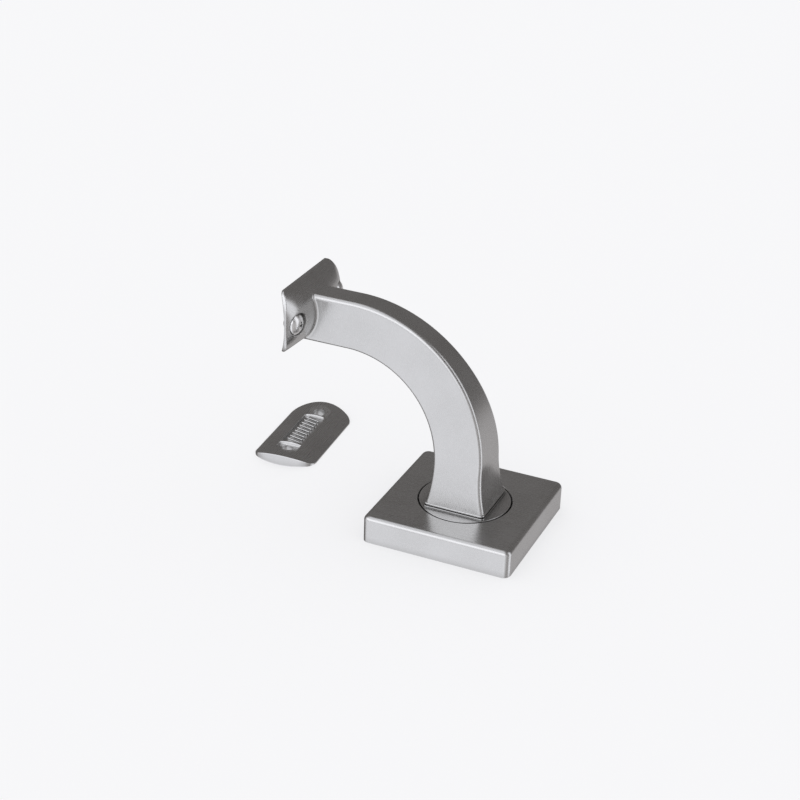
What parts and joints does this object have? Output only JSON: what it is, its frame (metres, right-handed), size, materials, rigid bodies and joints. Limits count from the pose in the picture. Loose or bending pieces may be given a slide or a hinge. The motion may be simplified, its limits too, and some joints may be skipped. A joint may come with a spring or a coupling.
{
  "type": "handrail bracket",
  "caption": "Wall handrail bracket: square rose, tapered arm curving through a quarter turn to a hollow saddle for a round rail, with a loose adapter pad for flat rails.",
  "frame": {"origin": "centre of the mounting plate on the wall face, which is the plane z = 0", "axes": "+Z points out of the wall along the swivel axis; the arm reaches towards -X; the rail runs along Y at rest"},
  "size_m": [0.1317, 0.0891, 0.091],
  "materials": {
    "satin_nickel": "satin nickel plate on a die casting",
    "zinc_plated_steel": "bright zinc plate",
    "spring_steel": "blued, smooth",
    "nylon": "natural, moulded",
    "bright_screw": "bright nickel plate"
  },
  "bodies": {
    "wall_base": {"mounting_plate": "zinc_plated_steel", "swivel_hub": "zinc_plated_steel", "hub_screws": "zinc_plated_steel", "cover_clips": "spring_steel", "clip_rivets": "zinc_plated_steel", "thrust_washer": "nylon"},
    "rose": {"rose_cover": "satin_nickel"},
    "swivel_arm": {"swivel_disc": "satin_nickel", "disc_screws": "zinc_plated_steel", "foot_dowels": "zinc_plated_steel", "pivot_stud": "zinc_plated_steel", "lock_nut": "zinc_plated_steel", "disc_spring": "spring_steel", "flat_washer": "zinc_plated_steel", "arm": "satin_nickel", "saddle": "satin_nickel", "saddle_screw": "zinc_plated_steel", "head_dowels": "zinc_plated_steel", "rail_screws": "bright_screw"},
    "adapter": {"flat_rail_adapter": "satin_nickel"}
  },
  "joints": [
    {"name": "arm_swivel", "type": "hinge", "parent": "wall_base", "child": "swivel_arm", "pos_m": [0, 0, 0.008], "axis": [0, 0, 1], "continuous": true},
    {"name": "cover_slide", "type": "slide", "parent": "wall_base", "child": "rose", "axis": [0, 0, 1], "range_m": [0, 0.03]},
    {"name": "adapter_lift", "type": "slide", "parent": "wall_base", "child": "adapter", "axis": [0, 0, 1], "range_m": [0, 0.05]}
  ]
}
